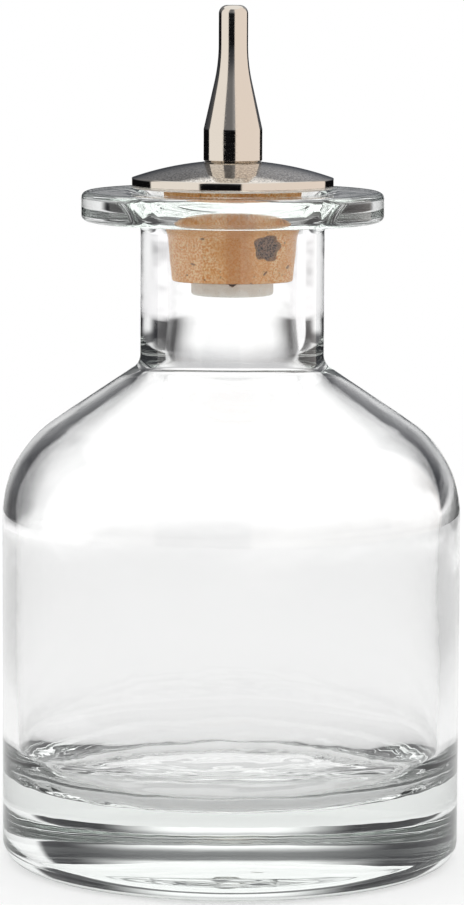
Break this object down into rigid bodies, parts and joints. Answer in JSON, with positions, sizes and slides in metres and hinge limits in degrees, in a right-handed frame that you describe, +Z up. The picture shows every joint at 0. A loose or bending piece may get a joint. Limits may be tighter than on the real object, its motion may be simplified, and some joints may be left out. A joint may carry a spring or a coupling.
{
  "type": "bitters bottle",
  "caption": "Clear glass bitters bottle with a thick base, round shoulder and wide flanged mouth, closed by a tapered cork under a polished dome with a slim screw-on dasher spout.",
  "frame": {"origin": "on the bottle's axis, on the surface that it stands on", "axes": "+Z up along the axis towards the spout's tip; -Y towards the front, where the stem flange has its notch"},
  "size_m": [0.07, 0.07, 0.1306],
  "materials": {
    "clear_glass": "clear moulded glass with a faint green tint at its edges",
    "natural_cork": "natural cork with pits and streaks",
    "polished_metal": "mirror polished, slightly warm",
    "dull_metal": "unpolished, blotchy, light warm grey"
  },
  "bodies": {
    "bottle": {"glass_bottle": "clear_glass"},
    "stopper": {"cork_stopper": "natural_cork", "dome_cap": "polished_metal"},
    "stem": {"flow_stem": "dull_metal"},
    "spout": {"dasher_spout": "polished_metal"}
  },
  "joints": [
    {"name": "stopper_lift", "type": "slide", "parent": "bottle", "child": "stopper", "axis": [0, 0, 1], "range_m": [0, 0.03]},
    {"name": "stem_turn", "type": "hinge", "parent": "stopper", "child": "stem", "pos_m": [0, 0, 0.088], "axis": [0, 0, -1], "range_deg": [0, 3150]},
    {"name": "spout_rise", "type": "slide", "parent": "stopper", "child": "spout", "axis": [0, 0, 1], "range_m": [0, 0.007]}
  ],
  "couplings": [
    {"joint": "stem_turn", "follows": "spout_rise", "rad_per_m": 7854}
  ]
}
